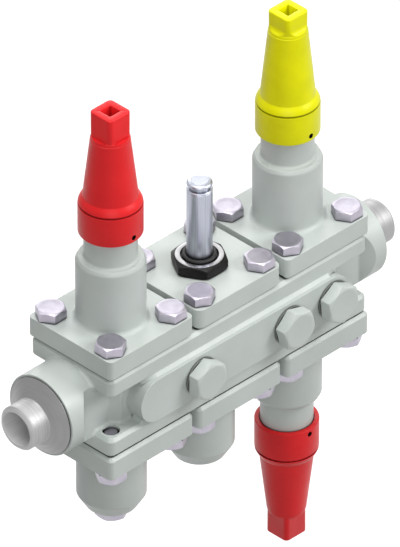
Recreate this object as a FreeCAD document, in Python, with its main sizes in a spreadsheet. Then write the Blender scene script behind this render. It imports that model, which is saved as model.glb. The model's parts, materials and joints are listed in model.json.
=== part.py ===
import FreeCAD, Part
import math
import os
import re
import Sketcher

# Valve station: one steel housing between two butt-weld pipe ends, three modules above it and three below.
# The origin is the centre of the inlet's weld face. +X runs from inlet to outlet, +Z is up. Lengths are
# millimetres. Each module is drawn standing on the pipe axis, so its heights are distances from that axis,
# and the three lower modules are turned half a turn about Y.

SIZES = [
    # pipe ends
    ("pipe_radius", 13.45, "outside of the DN 20 pipe"),
    ("pipe_bore_radius", 10.55, "inside of the pipe"),
    ("way_step", 0.95, "how much wider the way drilled in the housing is than the pipe"),
    ("stub_length", 13.0, "straight pipe in front of the weld cone"),
    ("bevel_length", 1.6, "weld preparation at the pipe's end"),
    ("bevel_depth", 1.6, "how far the weld preparation takes the pipe's outside in"),
    ("weld_cone_length", 6.5, "from the pipe to the boss"),
    ("nipple_spigot_radius", 12.5, "counterbore in the boss that centres the pipe end"),
    ("nipple_spigot_length", 4.0, ""),
    # housing
    ("cover_gap", 4.0, "between neighbouring covers"),
    ("cover_overhang", 0.75, "how far the covers stand out past the housing"),
    ("housing_height", 53.0, ""),
    ("slab_thickness", 12.5, "the slabs that take the cover bolts"),
    ("housing_corner", 4.5, "radius of the upright corners"),
    ("edge_chamfer", 2.0, "on the slabs and under the covers"),
    ("boss_radius", 25.0, "round end that carries the pipe"),
    ("boss_length", 22.75, ""),
    ("waist_half_width", 18.0, "beside the end bolts"),
    ("core_half_width", 23.0, "beside the modules"),
    ("core_edge", 15.2, "from a module's axis to where the core narrows"),
    ("run_out", 39.1, "from a module's axis to where the waist widens to the boss"),
    ("land_height", 3.85, "how far the raised land stands out from the slabs"),
    ("land_start", 2.0, "centre of the land's round end, from the module's axis"),
    # passages
    ("pocket_radius", 20.0, "bore that takes a module"),
    ("web_thickness", 12.0, "between an upper and a lower pocket"),
    ("seat_bore_radius", 7.5, "opening through the web that the valves close"),
    ("passage_radius", 5.5, "slanted passage from one pocket to the next"),
    ("passage_reach", 13.0, "from a module's axis to where a passage starts"),
    ("passage_height", 16.5, "height of a passage's end over the pipe axis"),
    ("end_bore_stop", 27.0, "from a module's axis to the floor of the pipe bore"),
    # covers and their bolts
    ("cover_width", 66.0, ""),
    ("cover_thickness", 14.0, ""),
    ("cover_corner", 3.2, ""),
    ("solenoid_cover_corner", 5.0, ""),
    ("spigot_length", 5.0, "the cover's collar in the pocket"),
    ("gasket_radius", 22.5, "outside of the cover gasket's recess"),
    ("gasket_thickness", 2.0, ""),
    ("bolt_edge", 9.3, "from a cover's side to the axis of its bolts"),
    ("bolt_radius", 5.0, "M10"),
    ("bolt_hole_radius", 5.5, "clearance hole in the cover"),
    ("bolt_length", 25.0, ""),
    ("bolt_head_flats", 16.0, ""),
    ("bolt_head_height", 6.2, ""),
    ("barrel_radius", 20.0, "round part of a bonnet or cup"),
    ("barrel_fillet", 3.0, "at the foot of a barrel"),
    ("thread_clearance", 0.1, "between a plain-drawn thread and its hole"),
    ("running_clearance", 0.05, "between a shaft and its hole"),
    # hand valves
    ("bonnet_shoulder", 79.5, "top edge of the bonnet's barrel"),
    ("bonnet_chamfer_height", 2.9, ""),
    ("bonnet_chamfer_depth", 1.5, ""),
    ("neck_radius", 15.25, ""),
    ("neck_fillet", 1.6, ""),
    ("neck_inside_cap", 13.8, "neck inside the cap's skirt"),
    ("hub_chamber_radius", 8.5, "bore in the bonnet over the cone"),
    ("hub_chamber_top", 46.0, ""),
    ("disc_chamber_radius", 12.0, ""),
    ("disc_chamber_top", 28.0, ""),
    ("spindle_radius", 5.0, ""),
    ("spindle_thread_radius", 6.0, ""),
    ("spindle_thread_bottom", 30.0, ""),
    ("spindle_thread_top", 66.0, ""),
    ("spindle_square_bottom", 124.0, ""),
    ("spindle_square_height", 10.0, ""),
    ("spindle_square_flats", 7.0, ""),
    ("packing_radius", 9.0, "bore that holds the packing and the gland nut"),
    ("packing_bottom", 80.0, ""),
    ("packing_ring_height", 4.0, ""),
    ("gland_head_flats", 17.0, ""),
    ("gland_head_height", 6.0, ""),
    ("cone_radius", 11.0, "valve cone's disc"),
    ("cone_disc_height", 6.0, ""),
    ("cone_hub_radius", 7.5, ""),
    ("cone_hub_height", 8.0, "socket for the spindle's foot"),
    ("cone_nose_clearance", 0.2, "between the cone's nose and the seat bore"),
    ("stop_nose_length", 3.0, ""),
    ("regulating_nose_length", 5.0, ""),
    ("soft_seat_inner", 8.2, ""),
    ("soft_seat_outer", 10.2, ""),
    ("soft_seat_height", 1.5, ""),
    # caps
    ("cap_edge", 99.7, "open edge of the cap"),
    ("cap_skirt_radius", 18.5, ""),
    ("cap_gasket_inner", 12.5, ""),
    ("cap_gasket_thickness", 1.5, ""),
    ("cap_skirt_top", 118.9, "where the shoulder begins"),
    ("cap_shoulder", 124.1, "foot of the cap's cone"),
    ("cap_shoulder_radius", 15.75, ""),
    ("cap_cone_radius", 11.4, "at the top of the cone"),
    ("stop_cone_top", 161.9, ""),
    ("regulating_cone_top", 166.6, ""),
    ("cap_ledge_height", 2.0, ""),
    ("cap_ledge_radius", 10.9, ""),
    ("stop_head_height", 15.8, "square head over the ledge"),
    ("regulating_head_height", 11.1, ""),
    ("cap_flats", 17.0, "square head"),
    ("cap_square_round", 2.8, ""),
    ("cap_socket_flats", 8.0, "square socket in the head"),
    ("cap_socket_depth", 10.0, ""),
    ("cap_cavity_radius", 13.0, ""),
    ("cap_cavity_top_radius", 8.5, ""),
    ("cap_cavity_top", 158.0, ""),
    ("cap_vent_radius", 1.4, "hole through the skirt"),
    ("cap_vent_height", 4.7, "over the skirt's edge"),
    # cups below the housing
    ("cup_edge", 79.0, "end of a cup's straight barrel"),
    ("cup_end", 87.5, ""),
    ("cup_end_radius", 14.8, ""),
    ("cup_bore_radius", 16.0, ""),
    ("filter_floor", 76.0, ""),
    ("screen_radius", 13.0, ""),
    ("screen_wall", 0.8, ""),
    ("screen_ring_height", 3.0, ""),
    ("screen_slot_width", 2.4, ""),
    ("screen_slot_margin", 4.0, ""),
    ("drain_radius", 6.5, "thread of the drain plug"),
    ("drain_hole_depth", 8.0, "plug thread in the cup's floor"),
    ("drain_flats", 17.0, ""),
    ("drain_head_height", 6.5, ""),
    ("washer_thickness", 1.5, ""),
    ("check_floor", 46.0, ""),
    ("check_guide_radius", 6.0, ""),
    ("check_guide_bottom", 72.0, ""),
    ("check_stem_end", 60.0, ""),
    ("check_disc_height", 4.0, ""),
    ("check_spring_radius", 9.0, ""),
    ("spring_wire", 0.8, ""),
    ("lift_nose_length", 2.0, "nose of the servo and check cones"),
    # solenoid valve
    ("servo_bore_radius", 12.0, ""),
    ("servo_bore_rise", 6.5, "the servo cylinder's roof over the housing"),
    ("servo_disc_radius", 10.5, ""),
    ("servo_disc_height", 4.0, ""),
    ("servo_neck_radius", 6.0, ""),
    ("servo_piston_drop", 0.5, "the piston's top under the housing's top"),
    ("servo_piston_height", 8.5, ""),
    ("servo_ring_depth", 1.5, ""),
    ("servo_ring_height", 2.0, ""),
    ("servo_ring_land", 1.5, "over the ring"),
    ("servo_bleed_radius", 0.75, ""),
    ("servo_spring_radius", 8.0, ""),
    ("pilot_radius", 1.2, ""),
    ("pilot_web", 1.5, ""),
    ("tube_flange_radius", 9.0, ""),
    ("tube_flange_height", 2.0, ""),
    ("tube_radius", 7.4, ""),
    ("tube_wall", 0.7, ""),
    ("tube_top", 93.0, ""),
    ("nut_thread_radius", 11.0, ""),
    ("nut_flats", 29.0, ""),
    ("nut_height", 7.5, ""),
    ("nut_recess_radius", 10.5, ""),
    ("nut_recess_depth", 1.2, ""),
    ("ring_seal_wire", 1.3, ""),
    ("armature_foot", 1.5, ""),
    ("armature_foot_radius", 2.2, ""),
    ("armature_top", 76.9, ""),
    ("armature_gap", 3.1, "to the fixed core"),
    ("armature_hole_radius", 3.5, ""),
    ("armature_hole_depth", 12.0, ""),
    ("armature_spring_radius", 2.6, ""),
    ("armature_spring_wire", 0.5, ""),
    ("core_groove_radius", 6.4, ""),
    ("core_groove_height", 3.4, ""),
    ("core_head_height", 2.0, ""),
    ("core_head_chamfer", 1.6, ""),
    # service ports
    ("port_thread_radius", 8.2, ""),
    ("port_thread_depth", 12.0, ""),
    ("port_drill_radius", 3.0, ""),
    ("port_flats", 22.0, ""),
    ("port_head_height", 8.1, ""),
    ("port_shank_length", 10.0, ""),
    ("washer_rim", 3.3, "width of a plug's washer"),
]

HALF = "(housing_height / 2)"
SLAB = f"({HALF} - slab_thickness)"
COVER = f"({HALF} + cover_thickness)"
SPIGOT = f"({HALF} - spigot_length)"
SEAT = "(web_thickness / 2)"
PITCH = "(cover_width + cover_gap)"
BOLT_OFFSET = "(cover_width / 2 - bolt_edge)"
SIDE = "(cover_width / 2 - cover_overhang)"
LAND_FACE = f"({SIDE} + land_height)"
FIRST = f"(stub_length + weld_cone_length + boss_length + {SIDE})"
STATIONS = [f"({FIRST} + {number} * {PITCH})" for number in range(3)]
TOTAL = f"(2 * {FIRST} + 2 * {PITCH})"
PORTS = [f"({STATIONS[0]} + {PITCH} / 2)", f"({STATIONS[1]} + {PITCH} / 2)", STATIONS[2]]
NECK_TOP = "(cap_edge + neck_inside_cap)"
CAP_FLOOR = f"({NECK_TOP} + cap_gasket_thickness)"
NOSE = "(seat_bore_radius - cone_nose_clearance)"
SERVO_ROOF = f"({HALF} + servo_bore_rise)"
SERVO_TOP = f"({HALF} - servo_piston_drop)"
TUBE_FOOT = f"({SERVO_ROOF} + pilot_web)"
CORE_FOOT = "(armature_top + armature_gap)"
ALIASES = {name for name, value, words in SIZES}
UPRIGHT = FreeCAD.Rotation()
UPSIDE_DOWN = FreeCAD.Rotation(FreeCAD.Vector(0, 1, 0), 180)
ALONG_X = FreeCAD.Rotation(FreeCAD.Vector(0, 1, 0), 90)
AGAINST_X = FreeCAD.Rotation(FreeCAD.Vector(0, 1, 0), -90)
TURNED_HEX = FreeCAD.Rotation(FreeCAD.Vector(0, 0, 1), 30)


def facing(side):
    """Turn that points a piece's Z axis along -Y or +Y, and keeps its X axis upright."""
    upright = FreeCAD.Vector(0, 0, 1)
    return FreeCAD.Rotation(upright, FreeCAD.Vector(side, 0, 0), FreeCAD.Vector(0, side, 0), "ZXY")


OUT_OF_LAND = facing(-1)
OUT_OF_BACK = facing(1)

doc = FreeCAD.newDocument("valve_station")
sheet = doc.addObject("Spreadsheet::Sheet", "Size")
for row, (name, value, words) in enumerate(SIZES, 1):
    sheet.set(f"A{row}", name)
    sheet.set(f"B{row}", str(value))
    sheet.set(f"C{row}", words)
    sheet.setAlias(f"B{row}", name)
doc.recompute()
pieces = {}


def number_of(text):
    """The value of an expression in the sheet's names."""
    return float(sheet.evalExpression(text))


def linked(text):
    """The same expression as another object writes it, with each name pointing at the sheet."""
    return re.sub(r"[A-Za-z_]\w*", lambda word: f"Size.{word[0]}" if word[0] in ALIASES else word[0], text)


def bind(thing, **sizes):
    for name, text in sizes.items():
        thing.setExpression(name, linked(text))


def place(thing, x="0", y="0", z="0", turn=UPRIGHT):
    """Set where an object stands. Each coordinate is an expression."""
    thing.Placement = FreeCAD.Placement(FreeCAD.Vector(number_of(x), number_of(y), number_of(z)), turn)
    for axis, text in (("x", x), ("y", y), ("z", z)):
        if text != "0":
            thing.setExpression(f"Placement.Base.{axis}", linked(text))
    return thing


def piece(node, thing, x="0", y="0", z="0", turn=UPRIGHT):
    """Name a finished piece and stand it in its place."""
    thing.Label = node
    place(thing, x, y, z, turn)
    pieces[node] = thing
    return thing


def new_body():
    return doc.addObject("PartDesign::Body", "Body")


def add_sketch(body, role):
    sketch = body.newObject("Sketcher::SketchObject", "Sketch")
    origin_plane = [feature for feature in body.Origin.OriginFeatures if feature.Role == role][0]
    sketch.AttachmentSupport = [(origin_plane, "")]
    sketch.MapMode = "FlatFace"
    return sketch


def pin_point(sketch, geometry, end, across, up):
    """Hold a point of a sketch at two expressions from its origin. None leaves that way free."""
    for kind, text, axis in (("DistanceX", across, -2), ("DistanceY", up, -1)):
        if text is None:
            continue
        if text == "0":
            sketch.addConstraint(Sketcher.Constraint("PointOnObject", geometry, end, axis))
            continue
        constraint = Sketcher.Constraint(kind, -1, 1, geometry, end, number_of(text))
        number = sketch.addConstraint(constraint)
        sketch.setExpression(f"Constraints[{number}]", linked(text))


def add_outline(sketch, points):
    """Closed outline through points, each a pair of expressions. One with a centre after it starts an arc."""
    spots = [FreeCAD.Vector(number_of(point[0]), number_of(point[1]), 0) for point in points]
    first = sketch.GeometryCount
    starts, ends = [], []
    for number, spot in enumerate(spots):
        after = spots[(number + 1) % len(spots)]
        edge, forwards = Part.LineSegment(spot, after), True
        if len(points[number]) == 4:
            centre = FreeCAD.Vector(number_of(points[number][2]), number_of(points[number][3]), 0)
            angles = [math.atan2(end.y - centre.y, end.x - centre.x) for end in (spot, after)]
            forwards = (angles[1] - angles[0]) % (2 * math.pi) < math.pi
            circle = Part.Circle(centre, FreeCAD.Vector(0, 0, 1), (spot - centre).Length)
            edge = Part.ArcOfCircle(circle, *(angles if forwards else reversed(angles)))
        sketch.addGeometry(edge, False)
        starts.append(1 if forwards else 2)
        ends.append(2 if forwards else 1)
    for number in range(len(spots)):
        after = (number + 1) % len(spots)
        here, there = (first + number, ends[number]), (first + after, starts[after])
        sketch.addConstraint(Sketcher.Constraint("Coincident", *here, *there))
    for number, point in enumerate(points):
        across, up = point[:2]
        before = points[number - 1]
        if len(before) == 4:
            # the arc before this point already holds it in the direction of its radius
            aside = abs(number_of(across) - number_of(before[2])), abs(number_of(up) - number_of(before[3]))
            across, up = (None, up) if aside[0] > aside[1] else (across, None)
        pin_point(sketch, first + number, starts[number], across, up)
        if len(point) == 4:
            pin_point(sketch, first + number, 3, point[2], point[3])


def revolve(body, profile, kind="PartDesign::Revolution"):
    """Turn a closed profile of (radius, height) points about the body's Z axis, to add or to cut."""
    sketch = add_sketch(body, "XZ_Plane")
    add_outline(sketch, profile)
    feature = body.newObject(kind, "Turning")
    feature.Profile = sketch
    feature.ReferenceAxis = (sketch, ["V_Axis"])
    feature.Angle = 360
    return feature


def turned(profile):
    body = new_body()
    revolve(body, profile)
    return body


def tube_profile(inner, outer, bottom, top):
    return [(inner, bottom), (outer, bottom), (outer, top), (inner, top)]


def extrude(body, sketch, length, kind="PartDesign::Pad", midplane=False, back=False):
    feature = body.newObject(kind, "Extrusion")
    feature.Profile = sketch
    feature.SideType = "Symmetric" if midplane else "One side"
    feature.Reversed = back
    bind(feature, Length=length)
    return feature


def edges_where(feature, test):
    """Names of the edges of a feature whose middle and ends all pass the test."""
    doc.recompute()
    names = []
    for number, edge in enumerate(feature.Shape.Edges, 1):
        middle = edge.valueAt((edge.FirstParameter + edge.LastParameter) / 2)
        spots = [middle] + [vertex.Point for vertex in edge.Vertexes]
        if all(test(spot) for spot in spots):
            names.append(f"Edge{number}")
    return names


def near(one, other):
    return abs(one - other) < 1e-4


def cylinder(radius, height, x="0", y="0", z="0", turn=UPRIGHT):
    thing = doc.addObject("Part::Cylinder", "Cylinder")
    bind(thing, Radius=radius, Height=height)
    return place(thing, x, y, z, turn)


def leaning_cylinder(radius, start, end):
    """Cylinder in the XZ plane from start to end, each an (x, z) pair."""
    run, rise = f"({end[0]} - {start[0]})", f"({end[1]} - {start[1]})"
    thing = doc.addObject("Part::Cylinder", "Passage")
    bind(thing, Radius=radius, Height=f"sqrt(({run}) ^ 2 + ({rise}) ^ 2)")
    place(thing, start[0], "0", start[1])
    thing.Placement.Rotation = FreeCAD.Rotation(FreeCAD.Vector(0, 1, 0), 45)
    thing.setExpression("Placement.Rotation.Angle", linked(f"90 deg - atan2({rise}; {run})"))
    return thing


def group(kind, things):
    joined = doc.addObject(kind, "Joined")
    if kind == "Part::Compound":
        joined.Links = things
    else:
        joined.Shapes = things
    return joined


def fuse(*things):
    return group("Part::MultiFuse", list(things))


def cut(base, *tools):
    thing = doc.addObject("Part::Cut", "Cut")
    thing.Base = base
    thing.Tool = tools[0] if len(tools) == 1 else fuse(*tools)
    return thing


def hexagon(flats, height, chamfered_bottom=False):
    """Hexagon standing on z = 0 with corners on X, its top corners turned off at 30 degrees."""
    prism = doc.addObject("Part::Prism", "Hexagon")
    prism.Polygon = 6
    bind(prism, Circumradius=f"{flats} / sqrt(3)", Height=height)
    wide, flat = f"({flats} * 0.6)", f"({flats} * 0.475)"
    drop = f"(({wide} - {flat}) / sqrt(3))"
    profile = [("0", "0"), (wide, "0"), (wide, f"{height} - {drop}"), (flat, height), ("0", height)]
    if chamfered_bottom:
        profile[1:2] = [(flat, "0"), (wide, drop)]
    return group("Part::MultiCommon", [prism, turned(profile)])


def square_bar(flats, height, x="0", y="0", z="0"):
    thing = doc.addObject("Part::Box", "Square")
    bind(thing, Length=flats, Width=flats, Height=height)
    return place(thing, f"{x} - {flats} / 2", f"{y} - {flats} / 2", z)


def plug(flats, head_height, thread_radius, shank_length):
    """Hexagon plug or bolt: its head stands on z = 0 and its thread hangs below."""
    radius = f"({thread_radius} - thread_clearance)"
    shank = cylinder(radius, f"{shank_length} + {head_height} / 2", z=f"-{shank_length}")
    return fuse(hexagon(flats, head_height), shank)


def copies(thing, spots, turns=None):
    """One group of copies of a piece, each at a spot of three expressions."""
    links = []
    for number, spot in enumerate(spots):
        link = doc.addObject("App::Link", "Copy")
        link.LinkedObject = thing
        place(link, *spot, turn=turns[number] if turns else UPRIGHT)
        links.append(link)
    return group("Part::Compound", links)


def spring(coil_radius, wire, bottom, top, turns):
    """Coil spring whose wire touches the heights bottom and top."""
    helix = doc.addObject("Part::Helix", "Helix")
    height = f"({top} - {bottom} - {wire})"
    bind(helix, Radius=coil_radius, Height=height, Pitch=f"{height} / {turns}")
    section = doc.addObject("Part::Circle", "Wire")
    bind(section, Radius=f"{wire} / 2")
    place(section, coil_radius, turn=FreeCAD.Rotation(FreeCAD.Vector(1, 0, 0), 90))
    sweep = doc.addObject("Part::Sweep", "Coil")
    sweep.Sections = [section]
    sweep.Spine = (helix, ["Edge1"])
    sweep.Solid = True
    sweep.Frenet = True
    return sweep, f"({bottom} + {wire} / 2)"


def round_uprights(body, pad, corner, height):
    """Round the upright edges of a pad that has that height."""
    doc.recompute()
    rounds = body.newObject("PartDesign::Fillet", "Corners")
    upright = [
        f"Edge{number}"
        for number, edge in enumerate(pad.Shape.Edges, 1)
        if near(edge.BoundBox.ZLength, height)
    ]
    rounds.Base = (pad, upright)
    bind(rounds, Radius=corner)
    return rounds


def rounded_plate(length, width, thickness, corner, both_sides=False):
    """Plate centred on Z, standing on z = 0, with rounded upright corners and chamfered edges."""
    body = new_body()
    sketch = add_sketch(body, "XY_Plane")
    x, y = f"{length} / 2", f"{width} / 2"
    add_outline(sketch, [(f"-{x}", f"-{y}"), (x, f"-{y}"), (x, y), (f"-{x}", y)])
    pad = extrude(body, sketch, thickness)
    high = number_of(thickness)
    rounds = round_uprights(body, pad, corner, high)
    rims = edges_where(rounds, lambda spot: near(spot.z, 0) or both_sides and near(spot.z, high))
    chamfers = body.newObject("PartDesign::Chamfer", "Rims")
    chamfers.Base = (rounds, rims)
    bind(chamfers, Size="edge_chamfer")
    return body


# The housing: two slabs, the block between them, two bosses, and a raised land on each side.


def side_pocket(sign):
    """What is cut away on one side: along the core, in at the end bolts, and out past the flat on the boss."""
    narrow = f"({FIRST} - core_edge)"
    step = f"({narrow} - (core_half_width - waist_half_width))"
    waist = f"({FIRST} - run_out)"
    out = f"({waist} - (boss_radius - waist_half_width))"
    left = [
        (out, f"(2 * {SIDE})"),
        (out, "boss_radius"),
        (waist, "waist_half_width"),
        (step, "waist_half_width"),
        (narrow, "core_half_width"),
    ]
    right = [(f"({TOTAL} - {x})", y) for x, y in reversed(left)]
    body = new_body()
    sketch = add_sketch(body, "XY_Plane")
    add_outline(sketch, [(x, f"{sign}{y}") for x, y in left + right])
    pad = extrude(body, sketch, f"2 * {HALF}", midplane=True)
    doc.recompute()
    rounded_points = [(number_of(x), float(f"{sign}1") * number_of(y)) for x, y in left[2:] + right[:3]]
    upright = [
        f"Edge{number}"
        for number, edge in enumerate(pad.Shape.Edges, 1)
        if any(near(edge.BoundBox.XMin, x) and near(edge.BoundBox.XMax, x)
               and near(edge.BoundBox.YMin, y) and near(edge.BoundBox.YMax, y) for x, y in rounded_points)
    ]
    rounds = body.newObject("PartDesign::Fillet", "Corners")
    rounds.Base = (pad, upright)
    bind(rounds, Radius="edge_chamfer")
    return body


def side_land(sign):
    """Raised land on one side: a bar with round ends, flared where it leaves the slabs."""
    turn = OUT_OF_LAND if sign == "-" else OUT_OF_BACK
    ends = [f"({FIRST} + land_start)", STATIONS[2]]
    rounds = [cylinder(SLAB, LAND_FACE, end, turn=turn) for end in ends]
    deep, side, face = "core_half_width / 2", SIDE, LAND_FACE
    flare = f"({side} + edge_chamfer)"
    low, high = f"-{SLAB}", SLAB
    below, above = f"{low} - edge_chamfer", f"{high} + edge_chamfer"
    section = [(deep, below), (side, below), (flare, low), (face, low),
               (face, high), (flare, high), (side, above), (deep, above)]
    body = new_body()
    sketch = add_sketch(body, "YZ_Plane")
    add_outline(sketch, [(f"{sign}({across})", up) for across, up in section])
    extrude(body, sketch, f"{ends[1]} - {ends[0]}")
    place(body, ends[0])
    return rounds + [body]


def housing():
    length = f"({TOTAL} - 2 * ({FIRST} - {SIDE}))"
    slabs = []
    for height in (SLAB, f"-{HALF}"):
        slab = rounded_plate(length, f"2 * {SIDE}", "slab_thickness", "housing_corner", both_sides=True)
        slabs.append(place(slab, f"{TOTAL} / 2", "0", height))
    middle = doc.addObject("Part::Box", "Middle")
    bind(middle, Length=length, Width=f"2 * {SIDE}", Height=f"2 * {SLAB}")
    place(middle, f"{FIRST} - {SIDE}", f"-{SIDE}", f"-{SLAB}")
    boss_start = "(stub_length + weld_cone_length)"
    boss_reach = "boss_length + edge_chamfer + bolt_radius"
    bosses = [cylinder("boss_radius", boss_reach, boss_start, turn=ALONG_X),
              cylinder("boss_radius", boss_reach, f"{TOTAL} - {boss_start}", turn=AGAINST_X)]
    core = cut(fuse(middle, *bosses), side_pocket("-"), side_pocket("+"))
    solid = fuse(*slabs, core, *side_land("-"), *side_land("+"))

    tools = []
    for station in STATIONS:
        tools.append(cylinder("seat_bore_radius", "web_thickness * 2", station, "0", "-web_thickness"))
        for floor, roof in ((SEAT, HALF), (f"-{HALF}", f"-{SEAT}")):
            tools.append(cylinder("pocket_radius", f"{roof} - ({floor})", station, "0", floor))
        for floor in (f"{HALF} - gasket_thickness", f"-{HALF}"):
            tools.append(cylinder("gasket_radius", "gasket_thickness", station, "0", floor))
        for across in "+-":
            for away in "+-":
                for floor in (SLAB, f"-{HALF}"):
                    tools.append(cylinder("bolt_radius", "slab_thickness", f"{station} {across} {BOLT_OFFSET}",
                                          f"{away}{BOLT_OFFSET}", floor))
    end_bore = f"({FIRST} - end_bore_stop - {boss_start})"
    for start, turn in ((boss_start, ALONG_X), (f"({TOTAL} - {boss_start})", AGAINST_X)):
        tools.append(cylinder("pipe_bore_radius + way_step", end_bore, start, turn=turn))
        tools.append(cylinder("nipple_spigot_radius", "nipple_spigot_length", start, turn=turn))
    start_reach = "(end_bore_stop + passage_radius)"
    ways = [((f"({FIRST} - {start_reach})", "0"), (f"({FIRST} - passage_reach)", "passage_height"))]
    leaving = [(f"({station} + passage_reach)", "-passage_height") for station in STATIONS]
    for start, station in zip(leaving, STATIONS[1:]):
        ways.append((start, (f"({station} - passage_reach)", "passage_height")))
    ways.append((leaving[-1], (f"({STATIONS[2]} + {start_reach})", "0")))
    tools += [leaning_cylinder("passage_radius", start, end) for start, end in ways]
    thread_floor = f"-({LAND_FACE} - port_thread_depth)"
    for port in PORTS:
        tools.append(cylinder("port_drill_radius", LAND_FACE, port, turn=OUT_OF_LAND))
        thread = cylinder("port_thread_radius", "port_thread_depth", port, thread_floor, turn=OUT_OF_LAND)
        tools.append(thread)
    piece("housing", cut(solid, *tools))


def pipe_ends():
    """Turned pipe ends: bevelled stub, cone up to the boss, and a collar in the boss."""
    cone_end = "(stub_length + weld_cone_length)"
    collar = "(nipple_spigot_radius - thread_clearance)"
    profile = [
        ("pipe_bore_radius", "0"),
        ("pipe_radius - bevel_depth", "0"),
        ("pipe_radius", "bevel_length"),
        ("pipe_radius", "stub_length"),
        ("boss_radius", cone_end),
        (collar, cone_end),
        (collar, f"{cone_end} + nipple_spigot_length"),
        ("pipe_bore_radius", f"{cone_end} + nipple_spigot_length"),
    ]
    piece("inlet_pipe_end", turned(profile), turn=ALONG_X)
    piece("outlet_pipe_end", turned(profile), TOTAL, turn=AGAINST_X)


def service_ports():
    face = f"-{LAND_FACE}"
    head = f"{face} - washer_thickness"
    plug_piece = plug("port_flats", "port_head_height", "port_thread_radius", "port_shank_length")
    rim = "port_thread_radius + washer_rim"
    washer = turned(tube_profile("port_thread_radius", rim, "0", "washer_thickness"))
    turns = [OUT_OF_LAND] * len(PORTS)
    piece("service_port_plugs", copies(plug_piece, [(port, head, "0") for port in PORTS], turns))
    piece("service_port_washers", copies(washer, [(port, face, "0") for port in PORTS], turns))


# What all six modules share: a square cover with a collar in the pocket, its gasket and its four bolts.


def cover(profile, bore, corner="cover_corner"):
    """Square cover with a turned body on it. The profile and the bore are (radius, height) outlines."""
    plate = rounded_plate("cover_width", "cover_width", "cover_thickness", corner)
    place(plate, z=HALF)
    corners = [(f"{across}{BOLT_OFFSET}", f"{away}{BOLT_OFFSET}") for across in "+-" for away in "+-"]
    holes = [cylinder("bolt_hole_radius", "cover_thickness", *spot, HALF) for spot in corners]
    return cut(fuse(plate, turned(profile)), turned(bore), *holes)


def collar_profile():
    """Profile of a cover's collar up to the middle of the plate."""
    collar = "(pocket_radius - thread_clearance)"
    inside = f"({HALF} + cover_thickness / 2)"
    return [("0", SPIGOT), (collar, SPIGOT), (collar, inside)]


def barrel_foot():
    """Profile of the round foot where a barrel leaves its cover."""
    wide, over = "(barrel_radius + barrel_fillet)", f"({COVER} + barrel_fillet)"
    return [(wide, f"{HALF} + cover_thickness / 2"), (wide, COVER, wide, over), ("barrel_radius", over)]


def fasten(module, station, turn):
    """Gasket and bolts of a module."""
    rim = "gasket_radius - thread_clearance"
    gasket = tube_profile("pocket_radius", rim, f"{HALF} - gasket_thickness", HALF)
    piece(f"{module}_gasket", turned(gasket), station, turn=turn)
    bolt = plug("bolt_head_flats", "bolt_head_height", "bolt_radius", "bolt_length")
    flip = -1 if turn is UPSIDE_DOWN else 1
    spots, turns = [], []
    for across in (1, -1):
        for away in (1, -1):
            spots.append((f"{across} * {BOLT_OFFSET}", f"{away} * {BOLT_OFFSET}", COVER))
            turns.append(TURNED_HEX if across * flip == away else UPRIGHT)
    piece(f"{module}_bolts", copies(bolt, spots, turns), station, turn=turn)


# The hand valves: inlet stop valve, regulating valve, and the outlet stop valve that hangs under the housing.


def bonnet(name, station, turn):
    neck_foot = "(bonnet_shoulder + bonnet_chamfer_height)"
    face = "(barrel_radius - bonnet_chamfer_depth)"
    wide, over = "(neck_radius + neck_fillet)", f"({neck_foot} + neck_fillet)"
    profile = collar_profile() + barrel_foot() + [
        ("barrel_radius", "bonnet_shoulder"),
        (face, neck_foot),
        (wide, neck_foot, wide, over),
        ("neck_radius", over),
        ("neck_radius", NECK_TOP),
        ("0", NECK_TOP),
    ]
    thread = "(spindle_thread_radius + thread_clearance)"
    bore = [
        ("0", SPIGOT),
        ("disc_chamber_radius", SPIGOT),
        ("disc_chamber_radius", "disc_chamber_top"),
        ("hub_chamber_radius", "disc_chamber_top"),
        ("hub_chamber_radius", "hub_chamber_top"),
        (thread, "hub_chamber_top"),
        (thread, "packing_bottom"),
        ("packing_radius", "packing_bottom"),
        ("packing_radius", NECK_TOP),
        ("0", NECK_TOP),
    ]
    piece(f"{name}_bonnet", cover(profile, bore), station, turn=turn)


def valve_cone(name, nose_length, station, turn):
    """Disc with a soft ring in its face, a nose in the seat bore and a socket for the spindle's foot."""
    disc_top = f"({SEAT} + cone_disc_height)"
    socket = f"({disc_top} + edge_chamfer)"
    hub_top = f"({socket} + cone_hub_height)"
    hole = "(spindle_radius + running_clearance)"
    profile = [
        ("0", f"{SEAT} - {nose_length}"),
        (f"{NOSE} * 0.7", f"{SEAT} - {nose_length}"),
        (NOSE, SEAT),
        ("soft_seat_inner", SEAT),
        ("soft_seat_inner", f"{SEAT} + soft_seat_height"),
        ("soft_seat_outer", f"{SEAT} + soft_seat_height"),
        ("soft_seat_outer", SEAT),
        ("cone_radius", SEAT),
        ("cone_radius", disc_top),
        ("cone_hub_radius", socket),
        ("cone_hub_radius", hub_top),
        (hole, hub_top),
        (hole, socket),
        ("0", socket),
    ]
    piece(f"{name}_cone", turned(profile), station, turn=turn)
    ring = tube_profile("soft_seat_inner", "soft_seat_outer", SEAT, f"{SEAT} + soft_seat_height")
    piece(f"{name}_seat_ring", turned(ring), station, turn=turn)


def spindle(name, station, turn):
    foot = f"({SEAT} + cone_disc_height + edge_chamfer)"
    profile = [
        ("0", foot),
        ("spindle_radius", foot),
        ("spindle_radius", "spindle_thread_bottom"),
        ("spindle_thread_radius", "spindle_thread_bottom"),
        ("spindle_thread_radius", "spindle_thread_top"),
        ("spindle_radius", "spindle_thread_top"),
        ("spindle_radius", "spindle_square_bottom"),
        ("0", "spindle_square_bottom"),
    ]
    square = square_bar("spindle_square_flats", "spindle_square_height + 1", z="spindle_square_bottom - 1")
    piece(f"{name}_spindle", fuse(turned(profile), square), station, turn=turn)


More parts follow.
